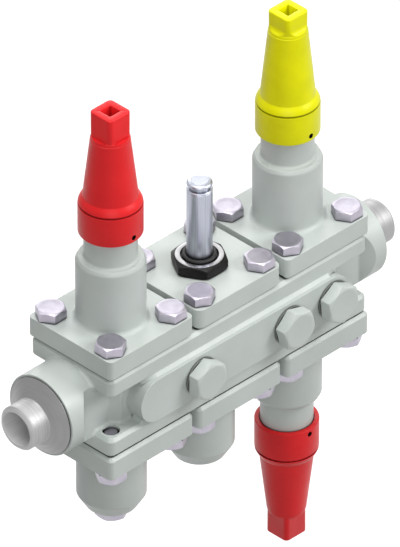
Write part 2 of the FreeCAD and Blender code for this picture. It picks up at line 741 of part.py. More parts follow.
def packing(name, station, turn):
    """Three packing rings under a gland nut that screws into the bonnet's neck."""
    bore = "(spindle_radius + running_clearance)"
    outside = "(packing_radius - running_clearance)"
    ring = turned(tube_profile(bore, outside, "0", "packing_ring_height"))
    feet = [f"(packing_bottom + {number} * packing_ring_height)" for number in range(4)]
    rings = copies(ring, [("0", "0", foot) for foot in feet[:3]])
    piece(f"{name}_packing", rings, station, turn=turn)
    nut_foot = feet[3]
    shank = cylinder("packing_radius - thread_clearance", f"{NECK_TOP} - {nut_foot} + 1", z=nut_foot)
    head = place(hexagon("gland_head_flats", "gland_head_height"), z=NECK_TOP)
    hole = cylinder(bore, f"{NECK_TOP} + gland_head_height - {nut_foot}", z=nut_foot)
    piece(f"{name}_gland_nut", cut(fuse(shank, head), hole), station, turn=turn)


def cap(name, cone_top, head_height, station, turn):
    """Hollow cap screwed over the neck: skirt, steep shoulder, cone, and a square head with a socket."""
    ledge = f"({cone_top} + cap_ledge_height)"
    profile = [
        ("0", "cap_edge"),
        ("cap_skirt_radius", "cap_edge"),
        ("cap_skirt_radius", "cap_skirt_top"),
        ("cap_shoulder_radius", "cap_shoulder"),
        ("cap_cone_radius", cone_top),
        ("cap_ledge_radius", ledge),
        ("0", ledge),
    ]
    neck = "(neck_radius + thread_clearance)"
    hollow = [
        ("0", "cap_edge"),
        (neck, "cap_edge"),
        (neck, CAP_FLOOR),
        ("cap_cavity_radius", CAP_FLOOR),
        ("cap_cavity_top_radius", "cap_cavity_top"),
        ("0", "cap_cavity_top"),
    ]
    head = rounded_bar("cap_flats", "cap_square_round", f"{head_height} + cap_ledge_height")
    place(head, z=cone_top)
    socket_floor = f"{ledge} + {head_height} - cap_socket_depth"
    socket = square_bar("cap_socket_flats", "cap_socket_depth", z=socket_floor)
    vent = cylinder("cap_vent_radius", "cap_skirt_radius", z="cap_edge + cap_vent_height", turn=OUT_OF_LAND)
    solid = cut(fuse(turned(profile), head), turned(hollow), socket, vent)
    piece(f"{name}_cap", solid, station, turn=turn)
    ring = tube_profile("cap_gasket_inner", "neck_radius", NECK_TOP, CAP_FLOOR)
    piece(f"{name}_cap_gasket", turned(ring), station, turn=turn)


def rounded_bar(flats, corner, height):
    """Square bar standing on z = 0 with rounded upright corners."""
    body = new_body()
    sketch = add_sketch(body, "XY_Plane")
    side = f"{flats} / 2"
    add_outline(sketch, [(f"-{side}", f"-{side}"), (side, f"-{side}"), (side, side), (f"-{side}", side)])
    pad = extrude(body, sketch, height)
    round_uprights(body, pad, corner, number_of(height))
    return body


def hand_valve(name, kind, station, turn):
    """All pieces of one valve. Its kind is stop or regulating, which have sizes of their own."""
    bonnet(name, station, turn)
    fasten(f"{name}_bonnet", station, turn)
    valve_cone(name, f"{kind}_nose_length", station, turn)
    spindle(name, station, turn)
    packing(name, station, turn)
    cap(name, f"{kind}_cone_top", f"{kind}_head_height", station, turn)


# Under the inlet: the filter. Under the solenoid valve: the check valve.


def cup(inside):
    """Round cup on a square cover, with a tapered end. The inside is a (radius, height) outline."""
    profile = collar_profile() + barrel_foot() + [
        ("barrel_radius", "cup_edge"),
        ("cup_end_radius", "cup_end"),
        ("0", "cup_end"),
    ]
    return cover(profile, inside)


def filter_module():
    station, turn = STATIONS[0], UPSIDE_DOWN
    inside = [
        ("0", SPIGOT),
        ("cup_bore_radius", SPIGOT),
        ("cup_bore_radius", "filter_floor"),
        ("drain_radius", "filter_floor"),
        ("drain_radius", "cup_end"),
        ("0", "cup_end"),
    ]
    piece("filter_cup", cup(inside), station, turn=turn)
    fasten("filter_cup", station, turn)
    top, bottom = f"({SEAT} + screen_ring_height)", "(filter_floor - screen_ring_height)"
    piece("filter_screen", screen(top, bottom), station, turn=turn)
    collar = f"({top} + screen_ring_height)"
    inner = "(screen_radius - screen_wall)"
    upper = [("seat_bore_radius", SEAT), ("screen_radius", SEAT), ("screen_radius", top), (inner, top),
             (inner, collar), (f"{inner} - screen_wall", collar), ("seat_bore_radius", top)]
    piece("filter_screen_upper_ring", turned(upper), station, turn=turn)
    lower_collar = f"({bottom} - screen_ring_height)"
    lower = [("drain_radius", "filter_floor"), ("screen_radius", "filter_floor"), ("screen_radius", bottom),
             (inner, bottom), (inner, lower_collar), (f"{inner} - screen_wall", lower_collar),
             ("drain_radius", bottom)]
    piece("filter_screen_lower_ring", turned(lower), station, turn=turn)
    seat = "(cup_end + washer_thickness)"
    drain = plug("drain_flats", "drain_head_height", "drain_radius", "drain_hole_depth + washer_thickness")
    whole = copies(drain, [("0", "0", seat)], [TURNED_HEX])
    piece("filter_drain_plug", whole, station, turn=turn)
    washer = tube_profile("drain_radius", "drain_radius + washer_rim", "cup_end", seat)
    piece("filter_drain_washer", turned(washer), station, turn=turn)


def screen(top, bottom):
    """Thin tube with slots all round."""
    body = new_body()
    tube = revolve(body, tube_profile("screen_radius - screen_wall", "screen_radius", top, bottom))
    doc.recompute()
    sketch = add_sketch(body, "XZ_Plane")
    low, high = f"({top} + screen_slot_margin)", f"({bottom} - screen_slot_margin)"
    side = "screen_slot_width / 2"
    add_outline(sketch, [(f"-{side}", low), (side, low), (side, high), (f"-{side}", high)])
    slot = extrude(body, sketch, "screen_radius * 2", "PartDesign::Pocket")
    doc.recompute()
    if near(slot.Shape.Volume, tube.Shape.Volume):
        slot.Reversed = True
    pattern = body.newObject("PartDesign::PolarPattern", "Slots")
    pattern.Originals = [slot]
    pattern.Axis = (sketch, ["V_Axis"])
    pattern.Angle = 360
    pattern.Occurrences = 12
    body.Tip = pattern
    return body


def check_module():
    station, turn = STATIONS[1], UPSIDE_DOWN
    guide = "(check_guide_radius + running_clearance)"
    inside = [
        ("0", SPIGOT),
        ("cup_bore_radius", SPIGOT),
        ("cup_bore_radius", "check_floor"),
        (guide, "check_floor"),
        (guide, "check_guide_bottom"),
        ("0", "check_guide_bottom"),
    ]
    piece("check_cup", cup(inside), station, turn=turn)
    fasten("check_cup", station, turn)
    disc_back = f"({SEAT} + check_disc_height)"
    profile = lifting_nose() + [
        ("cone_radius", SEAT),
        ("cone_radius", disc_back),
        ("check_guide_radius", disc_back),
        ("check_guide_radius", "check_stem_end"),
        ("0", "check_stem_end"),
    ]
    piece("check_cone", turned(profile), station, turn=turn)
    coil, foot = spring("check_spring_radius", "spring_wire", disc_back, "check_floor", 9)
    piece("check_spring", copies(coil, [("0", "0", foot)]), station, turn=turn)


def lifting_nose():
    tip = f"{SEAT} - lift_nose_length"
    return [("0", tip), (f"{NOSE} * 0.8", tip), (NOSE, SEAT)]


# The solenoid valve: servo piston in the cover, armature in its tube, tube nut. Its coil is not fitted.


def solenoid_module():
    station, turn = STATIONS[1], UPRIGHT
    profile = collar_profile() + [("0", f"{HALF} + cover_thickness / 2")]
    bore = [
        ("0", SPIGOT),
        ("servo_bore_radius", SPIGOT),
        ("servo_bore_radius", SERVO_ROOF),
        ("pilot_radius", SERVO_ROOF),
        ("pilot_radius", TUBE_FOOT),
        ("nut_thread_radius", TUBE_FOOT),
        ("nut_thread_radius", COVER),
        ("0", COVER),
    ]
    piece("solenoid_cover", cover(profile, bore, "solenoid_cover_corner"), station, turn=turn)
    fasten("solenoid_cover", station, turn)
    servo(station)
    armature_set(station)


def servo(station):
    disc_top = f"({SEAT} + servo_disc_height)"
    skirt = "(servo_bore_radius - running_clearance)"
    groove = "(servo_bore_radius - servo_ring_depth)"
    ring_top = f"({SERVO_TOP} - servo_ring_land)"
    ring_bottom = f"({ring_top} - servo_ring_height)"
    bottom = f"({SERVO_TOP} - servo_piston_height)"
    profile = [("servo_bleed_radius", lifting_nose()[0][1])] + lifting_nose()[1:] + [
        ("servo_disc_radius", SEAT),
        ("servo_disc_radius", disc_top),
        ("servo_neck_radius", disc_top),
        ("servo_neck_radius", bottom),
        (skirt, bottom),
        (skirt, ring_bottom),
        (groove, ring_bottom),
        (groove, ring_top),
        (skirt, ring_top),
        (skirt, SERVO_TOP),
        ("servo_bleed_radius", SERVO_TOP),
    ]
    piece("servo_piston", turned(profile), station)
    piece("servo_piston_ring", turned(tube_profile(groove, skirt, ring_bottom, ring_top)), station)
    coil, foot = spring("servo_spring_radius", "spring_wire", SERVO_TOP, SERVO_ROOF, 3)
    piece("servo_spring", copies(coil, [("0", "0", foot)]), station)


def armature_set(station):
    inside = "(tube_radius - tube_wall)"
    flange_top = f"({TUBE_FOOT} + tube_flange_height)"
    tube = [
        (inside, TUBE_FOOT),
        ("tube_flange_radius", TUBE_FOOT),
        ("tube_flange_radius", flange_top),
        ("tube_radius", flange_top),
        ("tube_radius", "tube_top"),
        (inside, "tube_top"),
    ]
    piece("armature_tube", turned(tube), station)
    sliding = f"({inside} - running_clearance)"
    groove_top = "(tube_top + core_groove_height)"
    head_top = f"({groove_top} + core_head_height)"
    core = [
        ("0", CORE_FOOT),
        (sliding, CORE_FOOT),
        (sliding, "tube_top"),
        ("core_groove_radius", "tube_top"),
        ("core_groove_radius", groove_top),
        ("tube_radius", groove_top),
        ("tube_radius", f"{head_top} - core_head_chamfer", "tube_radius - core_head_chamfer",
         f"{head_top} - core_head_chamfer"),
        ("tube_radius - core_head_chamfer", head_top),
        ("0", head_top),
    ]
    piece("fixed_core", turned(core), station)
    hole_floor = "(armature_top - armature_hole_depth)"
    armature = [
        ("0", TUBE_FOOT),
        ("armature_foot_radius", TUBE_FOOT),
        ("armature_foot_radius", f"{TUBE_FOOT} + armature_foot"),
        (sliding, f"{TUBE_FOOT} + armature_foot"),
        (sliding, "armature_top"),
        ("armature_hole_radius", "armature_top"),
        ("armature_hole_radius", hole_floor),
        ("0", hole_floor),
    ]
    piece("armature", turned(armature), station)
    coil, foot = spring("armature_spring_radius", "armature_spring_wire", hole_floor, CORE_FOOT, 9)
    piece("armature_spring", copies(coil, [("0", "0", foot)]), station)
    nut_top = f"({COVER} + nut_height)"
    thread = "(nut_thread_radius - thread_clearance)"
    hexed = place(hexagon("nut_flats", "nut_height", chamfered_bottom=True), z=COVER)
    shank = cylinder(thread, f"{COVER} + 1 - {flange_top}", z=flange_top)
    hole = turned([("0", flange_top), ("tube_radius + thread_clearance", flange_top),
                   ("tube_radius + thread_clearance", f"{nut_top} - nut_recess_depth"),
                   ("nut_recess_radius", f"{nut_top} - nut_recess_depth"), ("nut_recess_radius", nut_top),
                   ("0", nut_top)])
    piece("tube_nut", cut(fuse(hexed, shank), hole), station)
    ring = doc.addObject("Part::Torus", "Ring")
    bind(ring, Radius1="tube_radius + ring_seal_wire", Radius2="ring_seal_wire")
    ring_seal = copies(ring, [("0", "0", f"{nut_top} - nut_recess_depth + ring_seal_wire")])
    piece("tube_ring_seal", ring_seal, station)


housing()
pipe_ends()
service_ports()
hand_valve("inlet_stop", "stop", STATIONS[0], UPRIGHT)
hand_valve("regulating", "regulating", STATIONS[2], UPRIGHT)
hand_valve("outlet_stop", "stop", STATIONS[2], UPSIDE_DOWN)
filter_module()
check_module()
solenoid_module()
doc.recompute()

failed = [thing.Label for thing in doc.Objects if {"Invalid", "Error"} & set(thing.State)]
failed += [node for node, thing in pieces.items() if thing.Shape.isNull() or not thing.Shape.isValid()]
if failed:
    raise RuntimeError(f"these did not come out: {failed}")
os.makedirs("parts", exist_ok=True)
for node, thing in pieces.items():
    thing.Shape.exportStep(f"parts/{node}.step")
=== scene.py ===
import json
import math

import bmesh
import bpy
import numpy as np
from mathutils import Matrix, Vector


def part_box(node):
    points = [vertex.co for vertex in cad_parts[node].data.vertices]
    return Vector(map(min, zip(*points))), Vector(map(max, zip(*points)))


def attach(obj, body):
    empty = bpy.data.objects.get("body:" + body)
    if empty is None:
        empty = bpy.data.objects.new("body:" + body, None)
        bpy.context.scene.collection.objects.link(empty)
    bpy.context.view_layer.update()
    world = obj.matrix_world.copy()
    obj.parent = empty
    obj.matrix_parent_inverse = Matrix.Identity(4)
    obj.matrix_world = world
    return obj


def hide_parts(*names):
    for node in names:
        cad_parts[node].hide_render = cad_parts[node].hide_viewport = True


# Valve station seen as in the drawing: parallel view from the front left and above. All lengths are metres.

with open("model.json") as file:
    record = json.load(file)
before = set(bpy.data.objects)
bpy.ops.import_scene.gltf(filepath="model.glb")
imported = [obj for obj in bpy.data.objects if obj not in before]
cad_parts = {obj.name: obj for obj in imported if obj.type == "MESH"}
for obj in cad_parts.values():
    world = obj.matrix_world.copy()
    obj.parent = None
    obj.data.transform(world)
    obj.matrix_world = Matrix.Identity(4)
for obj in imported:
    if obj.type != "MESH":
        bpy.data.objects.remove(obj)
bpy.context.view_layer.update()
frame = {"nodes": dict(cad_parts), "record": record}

MM = 0.001
ROUND = 2 * math.pi

# What stands on the housing is marked 1, what hangs under it -1
HAND_VALVES = {"inlet_stop": 1, "outlet_stop": -1, "regulating": 1}
COVERS = {"inlet_stop_bonnet": 1, "outlet_stop_bonnet": -1, "regulating_bonnet": 1,
          "filter_cup": -1, "check_cup": -1, "solenoid_cover": 1}


def axis_of(node):
    """Where the upright axis of a round CAD node stands along X."""
    low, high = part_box(node)
    return (low.x + high.x) / 2


# Meshes


def mesh_from(name, points, faces):
    """Mesh from an array of points and a list of faces."""
    mesh = bpy.data.meshes.new(name)
    mesh.from_pydata(np.asarray(points).reshape(-1, 3).tolist(), [], faces)
    mesh.validate()
    return mesh


def grid_faces(rows, columns):
    """Quads of a grid whose last column meets its first one. Row k+1 lies over row k, seen from outside."""
    row, column = np.meshgrid(np.arange(rows - 1), np.arange(columns), indexing="ij")
    beside = (column + 1) % columns
    quads = np.stack(
        [row * columns + column, row * columns + beside, (row + 1) * columns + beside, (row + 1) * columns + column],
        axis=-1,
    )
    return quads.reshape(-1, 4).tolist()


def skin(rings, name="skin"):
    """Closed surface through rings, an array of rows x columns x 3. Each end row is closed with one face."""
    rings = np.asarray(rings, float)
    rows, columns = rings.shape[:2]
    faces = grid_faces(rows, columns)
    faces.append(list(range(columns))[::-1])
    faces.append(list(range((rows - 1) * columns, rows * columns)))
    return mesh_from(name, rings, faces)


def ring(angle, reach, height):
    """Points at a reach and a height, each a number or one value per angle: x = r cos a, y = r sin a. A column of
    reaches or heights gives one ring for each."""
    return np.stack([reach * np.cos(angle), reach * np.sin(angle), height + 0 * angle], axis=-1)


def turned(profile, columns=96, name="turned"):
    """Closed surface from a profile of (radius, height) points carried once round the Z axis."""
    profile = np.asarray(profile, float)
    angle = np.linspace(0, ROUND, columns, endpoint=False)
    return skin(ring(angle, profile[:, :1], profile[:, 1:]), name)


def rounded(points, radii, steps):
    """Outline through points with each corner rounded. The arc starts and ends where the round meets its two
    sides, at the radius divided by the tangent of half the corner's angle, and runs evenly between them."""
    points = np.asarray(points, float)
    radii = np.broadcast_to(radii, len(points))
    out = [points[0]]
    for before, corner, after, radius in zip(points, points[1:], points[2:], radii[1:]):
        one, two = before - corner, after - corner
        long_one, long_two = np.linalg.norm(one), np.linalg.norm(two)
        one, two = one / long_one, two / long_two
        half = math.acos(float(np.clip(one @ two, -1, 1))) / 2
        if radius <= 0 or half > math.pi / 2 - 0.02:
            out.append(corner)
            continue
        reach = min(radius / math.tan(half), 0.49 * long_one, 0.49 * long_two)
        radius = reach * math.tan(half)
        middle = (one + two) / np.linalg.norm(one + two)
        centre = corner + middle * radius / math.sin(half)
        start, end = corner + one * reach - centre, corner + two * reach - centre
        swing = math.pi - 2 * half
        share = np.linspace(0, 1, steps + 1)[:, None]
        arc = (np.sin((1 - share) * swing) * start + np.sin(share * swing) * end) / math.sin(swing)
        out.extend(centre + arc)
    out.append(points[-1])
    return np.array(out)


def section(corners, steps):
    """Rounded outline through corners that are each given as radius, height and rounding."""
    corners = np.array(corners, float)
    return rounded(corners[:, :2], corners[:, 2], steps)


def round_angles(sides=6, each=24, first_corner=0.0):
    """Angles once round, for a polygon's section. They crowd together at each corner by a power of 1.7."""
    half = math.pi / sides
    share = np.linspace(-1, 1, each, endpoint=False)
    near = half * np.sign(share) * np.abs(share) ** 1.7
    return (first_corner + 2 * half * np.arange(sides)[:, None] + near).ravel()


def polygon_reach(angle, sides, apothem, corner, first_corner=0.0):
    """Distance from the axis to a rounded regular polygon, at each angle. Over a flat it is the apothem divided
    by the cosine of the angle from the flat's middle. Past the flat it is the far crossing of the corner's arc."""
    half = math.pi / sides
    off = np.abs((angle - first_corner) % (2 * half) - half)
    flat = apothem / np.cos(off)
    centre = (apothem - corner) / math.cos(half)
    aside = centre * np.sin(half - off)
    arc = centre * np.cos(half - off) + np.sqrt(np.maximum(corner ** 2 - aside ** 2, 0))
    return np.where(apothem * np.tan(off) <= (apothem - corner) * math.tan(half), flat, arc)


def joined(name, meshes):
    """One mesh from several, and the others are freed."""
    whole = bmesh.new()
    for mesh in meshes:
        whole.from_mesh(mesh)
        bpy.data.meshes.remove(mesh)
    out = bpy.data.meshes.new(name)
    whole.to_mesh(out)
    whole.free()
    return out


def faced_outwards(mesh, bridge=False):
    """Turn a mesh's faces outwards, after a band of faces over its two open edges where bridge is set."""
    work = bmesh.new()
    work.from_mesh(mesh)
    if bridge:
        bmesh.ops.bridge_loops(work, edges=[e for e in work.edges if e.is_boundary])
    bmesh.ops.recalc_face_normals(work, faces=work.faces)
    work.to_mesh(mesh)
    work.free()


def face_middles(mesh):
    """Middle of every face, as an array of points."""
    middles = np.empty(len(mesh.polygons) * 3)
    mesh.polygons.foreach_get("center", middles)
    return middles.reshape(-1, 3)


def changed(mesh, change):
    """Put all points of a mesh through a function."""
    points = np.empty(len(mesh.vertices) * 3)
    mesh.vertices.foreach_get("co", points)
    mesh.vertices.foreach_set("co", change(points.reshape(-1, 3)).ravel())
    mesh.update()
    return mesh


def placed(mesh, x=0.0, y=0.0, z=0.0, up=1, turn=0.0):
    """Turn a mesh made round the Z axis about that axis, then stand it in its place. up is -1 for what hangs,
    which is half a turn about Y."""
    cosine, sine = math.cos(turn), math.sin(turn)
    about_z = np.array([[cosine, sine, 0], [-sine, cosine, 0], [0, 0, 1]])
    return changed(mesh, lambda points: points @ about_z * np.array([up, 1, up]) + np.array([x, y, z]))


def laid(mesh, rows):
    """Turn a mesh so that its X, Y and Z axes point along the three given rows."""
    return changed(mesh, lambda points: points @ np.array(rows, float))


def linked(name, data):
    """New object in the scene, at the origin."""
    made = bpy.data.objects.new(name, data)
    bpy.context.scene.collection.objects.link(made)
    return made


def piece(name, mesh, materials, body, replaces=(), smooth_angle=30):
    """Object of the part: smooth across edges flatter than the angle, riding on a body."""
    for one in materials:
        if one.name not in mesh.materials:
            mesh.materials.append(one)
    mesh.shade_smooth()
    mesh.set_sharp_from_angle(angle=math.radians(smooth_angle))
    made = linked(name, mesh)
    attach(made, body)
    if replaces:
        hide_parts(*replaces)
    return made


# Materials


def colour(code):
    """sRGB hex as linear red, green, blue and alpha."""
    parts = [int(code[i:i + 2], 16) / 255 for i in (1, 3, 5)]
    linear = [c / 12.92 if c <= 0.04045 else ((c + 0.055) / 1.055) ** 2.4 for c in parts]
    return (*linear, 1.0)


def add(material, kind, inputs=None, **settings):
    """Add a node with its settings. Each input gets a value, or a link from another node's socket."""
    made = material.node_tree.nodes.new(kind)
    for name, value in settings.items():
        setattr(made, name, value)
    for name, value in (inputs or {}).items():
        if isinstance(value, bpy.types.NodeSocket):
            material.node_tree.links.new(value, made.inputs[name])
        else:
            made.inputs[name].default_value = value
    return made


def new_material(name, **sockets):
    """Principled material. Its sockets hold the values that are the same all over."""
    material = bpy.data.materials.new(name)
    material.use_nodes = True
    shader = material.node_tree.nodes["Principled BSDF"]
    for socket, value in sockets.items():
        shader.inputs[socket.replace("_", " ")].default_value = value
    place = add(material, "ShaderNodeTexCoord")
    return material, shader, place.outputs["Object"]


def feed(material, shader, socket, value):
    """Link a value to one of the shader's sockets."""
    material.node_tree.links.new(value, shader.inputs[socket])


def noise(material, where, size, detail=3.0, stretch=(1, 1, 1)):
    """Noise with features of that size in millimetres, drawn out by stretch along each axis."""
    scaled = add(material, "ShaderNodeMapping", {"Vector": where, "Scale": tuple(1 / s for s in stretch)})
    return add(material, "ShaderNodeTexNoise",
               {"Vector": scaled.outputs["Vector"], "Scale": 1 / (size * MM), "Detail": detail,
                "Roughness": 0.55}).outputs["Fac"]


def mixed(material, share, one, two):
    """Colour that goes from one to two as the share goes from 0 to 1."""
    return add(material, "ShaderNodeMix", {0: share, 6: one, 7: two}, data_type="RGBA").outputs[2]


def spread(material, pattern, low, high):
    """Stretch a pattern's middle range over the range from low to high."""
    return add(material, "ShaderNodeMapRange",
               {"Value": pattern, "From Min": 0.3, "From Max": 0.7, "To Min": low, "To Max": high}).outputs["Result"]


def two_tone(material, pattern, light, dark):
    """Colour that follows a pattern between two close tones."""
    return mixed(material, spread(material, pattern, 0, 1), colour(light), colour(dark))


def bumped(material, shader, height, depth, before=None):
    """Give the shader a relief whose full height is depth, in millimetres."""
    inputs = {"Height": height, "Distance": depth * MM, "Strength": 1.0}
    if before:
        inputs["Normal"] = before
    bump = add(material, "ShaderNodeBump", inputs).outputs["Normal"]
    feed(material, shader, "Normal", bump)
    return bump


def dirtied(material, shader, paint, dirt, reach, strength):
    """Painted shade: the base colour is darkened towards a near-black shade colour where the surface lies in a
    crevice narrower than reach, in millimetres.
    """
    shade = add(material, "ShaderNodeAmbientOcclusion", {"Distance": reach * MM}, samples=12)
    open_share = add(material, "ShaderNodeMapRange",
                     {"Value": shade.outputs["AO"], "From Min": 0.25, "From Max": 0.85,
                      "To Min": 1 - strength, "To Max": 1.0})
    feed(material, shader, "Base Color", mixed(material, open_share.outputs["Result"], colour(dirt), paint))


def painted_cast_steel(name, light, dark, dirt):
    """Sprayed primer on cast and milled steel: even colour, a faint orange peel about 1.5 mm across, and painted
    shade darkening its corners."""
    material, shader, where = new_material(name, Roughness=0.38, IOR=1.5)
    # Painted shade darkens the primer in its crevices.
    dirtied(material, shader, two_tone(material, noise(material, where, 26), light, dark), dirt, 1.5, 1.0)
    feed(material, shader, "Roughness", spread(material, noise(material, where, 9), 0.33, 0.44))
    peel = bumped(material, shader, noise(material, where, 1.5, 2), 0.05)
    bumped(material, shader, noise(material, where, 0.5, 2), 0.012, peel)
    return material


def cap_coating(name, light, dark, dirt):
    """Powder-coated steel cap: saturated, glossy, with a soft orange peel about 2 mm across."""
    material, shader, where = new_material(name, Roughness=0.36, IOR=1.4, Specular_IOR_Level=0.3)
    # Painted shade darkens the coating in its crevices.
    dirtied(material, shader, two_tone(material, noise(material, where, 18), light, dark), dirt, 2.2, 1.0)
    feed(material, shader, "Roughness", spread(material, noise(material, where, 7), 0.32, 0.42))
    bumped(material, shader, noise(material, where, 2.0, 2), 0.05)
    return material


def zinc_plated(name, light, dark, dirt):
    """Forged bolt steel with bright zinc: a cool grey that turns lilac in patches, satin, slightly grainy."""
    material, shader, where = new_material(name, Metallic=1.0, Roughness=0.4)
    # Painted shade darkens the zinc in its crevices and under the heads.
    dirtied(material, shader, two_tone(material, noise(material, where, 6), light, dark), dirt, 3.0, 0.95)
    feed(material, shader, "Roughness", spread(material, noise(material, where, 2.5), 0.36, 0.45))
    bumped(material, shader, noise(material, where, 0.7, 3), 0.02)
    return material


def machined(name, light, dark, dirt, axis, groove, roughness=0.3):
    """Turned or drawn bright steel. The tool leaves fine grooves round the axis, real ones 0.1 mm apart, drawn
    as bands of the given width in millimetres because finer ones don't show."""
    material, shader, where = new_material(name, Metallic=1.0, Roughness=roughness)
    bands = noise(material, where, groove, 4, [1.0 if one == axis else 30.0 for one in "XYZ"])
    # Painted shade darkens the steel in its crevices.
    dirtied(material, shader, two_tone(material, bands, light, dark), dirt, 2.0, 0.7)
    feed(material, shader, "Roughness", spread(material, bands, roughness - 0.06, roughness + 0.08))
    bumped(material, shader, bands, 0.02)
    return material


def drawn(name, light, dark, dirt):
    """Drawn stainless tube: cool grey, faint lines along its length, satin."""
    material, shader, where = new_material(name, Metallic=1.0, Roughness=0.34)
    lines = noise(material, where, 0.6, 4, (1, 1, 60))
    # Painted shade darkens the tube in its crevices.
    dirtied(material, shader, two_tone(material, lines, light, dark), dirt, 2.0, 0.8)
    feed(material, shader, "Roughness", spread(material, lines, 0.28, 0.42))
    bumped(material, shader, lines, 0.01)
    return material


def pickled(name, light, dark):
    """Inside of a drawn steel pipe: matt, with faint lines along it. The near-white tones that it is given are
    painted light against the shade in the bore.
    """
    material, shader, where = new_material(name, Metallic=0.25, Roughness=0.55, IOR=1.5)
    lines = noise(material, where, 0.8, 4, (40, 1, 1))
    feed(material, shader, "Base Color", two_tone(material, lines, light, dark))
    bumped(material, shader, lines, 0.01)
    return material


def black_oxide(name, light, dark):
    """Chemically blackened steel: nearly black, slightly brown, oily satin."""
    material, shader, where = new_material(name, Metallic=0.6, Roughness=0.4)
    feed(material, shader, "Base Color", two_tone(material, noise(material, where, 4), light, dark))
    feed(material, shader, "Roughness", spread(material, noise(material, where, 2), 0.32, 0.5))
    bumped(material, shader, noise(material, where, 0.6, 3), 0.02)
    return material


def soft_sheet(name, light, dark, grain, roughness):
    """Gasket fibre, rubber or PTFE: matt, mottled at the size of its fibres or grains, in millimetres."""
    material, shader, where = new_material(name, Roughness=roughness, IOR=1.45)
    mottle = noise(material, where, grain, 4)
    feed(material, shader, "Base Color", two_tone(material, mottle, light, dark))
    bumped(material, shader, mottle, 0.03)
    return material


# Where a call below gives three colours, the third is the near-black painted shade for that material's crevices.
green_steel = painted_cast_steel("primer_on_cast_steel", "#C6CDC9", "#BFC6C1", "#1E211E")
red_coat = cap_coating("red_powder_coat", "#E9262A", "#DE2226", "#2A0607")
yellow_coat = cap_coating("yellow_powder_coat", "#EDEB00", "#E0DE00", "#2C2B02")
zinc = zinc_plated("bright_zinc", "#B7B3BD", "#A8A3AF", "#16151A")
pipe_bright = machined("turned_pipe_steel", "#ACACAC", "#9C9C9C", "#3A3A3A", "X", 0.7, 0.5)
# Painted light: the bore's near-white tones are far lighter than the same steel outside, lifting the shade inside
# it.
bore_matt = pickled("pickled_bore_steel", "#EFEFEF", "#E0E0E0")
# Painted shade: the cone is the same turned steel as the stub, given a darker grey where it faces away from the
# light.
cone_grey = machined("turned_weld_cone", "#8C8C8C", "#868686", "#2A2A2A", "X", 0.4, 0.36)
turned_bright = machined("turned_steel", "#C2C2C4", "#A9A9AB", "#2A2A2A", "Z", 0.5)
tube_drawn = drawn("drawn_stainless", "#BEC1CC", "#A3A6B1", "#17181B")
nut_black = black_oxide("black_oxide_steel", "#1C1A1A", "#0E0D0D")
# Painted shade: the walls of the drilled vent are near black, standing for the shade inside the small hole.
vent_dark = black_oxide("drilled_vent_steel", "#1B1916", "#11100E")
# Painted highlight: bright steel for the nut's lit top face.
nut_worn = machined("worn_chamfer_steel", "#B4B4B4", "#9C9C9E", "#222222", "Z", 0.5)
fibre = soft_sheet("gasket_fibre_sheet", "#3C423C", "#2A2E2A", 0.5, 0.8)
rubber = soft_sheet("nitrile_rubber", "#1A1A1A", "#101010", 0.3, 0.55)
ptfe = soft_sheet("white_ptfe", "#E9E9E4", "#DCDCD6", 1.2, 0.35)
washer_dull = machined("dull_aluminium", "#9A9C99", "#7F817E", "#222222", "Y", 0.6, 0.5)
SLOT_MATERIALS = {
    "green_steel": green_steel, "pipe_steel": pipe_bright, "zinc_steel": zinc, "turned_steel": turned_bright,
    "tube_steel": tube_drawn, "black_nut": nut_black, "washer_metal": washer_dull, "red_cap": red_coat,
    "yellow_cap": yellow_coat, "gasket_fibre": fibre, "seal_rubber": rubber, "ptfe": ptfe,
}
SLOTS = {part["node"]: part["material_slot"] for part in frame["record"]["subparts"]}
for node, thing in frame["nodes"].items():
    thing.data.materials.clear()
    thing.data.materials.append(SLOT_MATERIALS[SLOTS[node]])


# The housing, its covers and its cups

EDGE_EASE, SAME_POINT = 0.3 * MM, 0.002 * MM


def eased_copy(node, name):
    """Copy of a CAD node's mesh with its flat triangles merged and its sharp edges eased, in its place."""
    work = bmesh.new()
    work.from_mesh(frame["nodes"][node].data)
    bmesh.ops.remove_doubles(work, verts=work.verts, dist=SAME_POINT)
    bmesh.ops.dissolve_degenerate(work, edges=work.edges, dist=SAME_POINT)
    bmesh.ops.dissolve_limit(work, angle_limit=math.radians(0.6), verts=work.verts, edges=work.edges)
    sharp = [e for e in work.edges if len(e.link_faces) == 2 and e.calc_face_angle(0) > math.radians(28)]
    bmesh.ops.bevel(work, geom=sharp, offset=EDGE_EASE, segments=2, profile=0.5, affect="EDGES",
                    clamp_overlap=False, offset_type="OFFSET")
    mesh = bpy.data.meshes.new(name)
    work.to_mesh(mesh)
    work.free()
    made = piece(name, mesh, [green_steel], "root", [node], smooth_angle=50)
    made.modifiers.new("even_faces", "WEIGHTED_NORMAL").keep_sharp = True


eased_copy("housing", "housing_casting")
for node in COVERS:
    eased_copy(node, f"{node}_body")

# Heights and half widths count from the pipe's axis. SLAB_END, STEP and LAND_CENTRE count from the inlet's end.
HOUSING_MIDDLE, HALF_HEIGHT = 144.5 * MM, 26.5 * MM
SLAB_FACE, SLAB_END, SLAB_SIDE = 14 * MM, 42.25 * MM, 32.25 * MM
WAIST, CORE, STEP = 18 * MM, 23 * MM, (54.3 * MM, 59.3 * MM)
LAND_CENTRE, BOSS = 76.5 * MM, 25 * MM
CHAMFER, FILLET = 2 * MM, 2 * MM
SUNK, HAIR = 0.4 * MM, 0.05 * MM


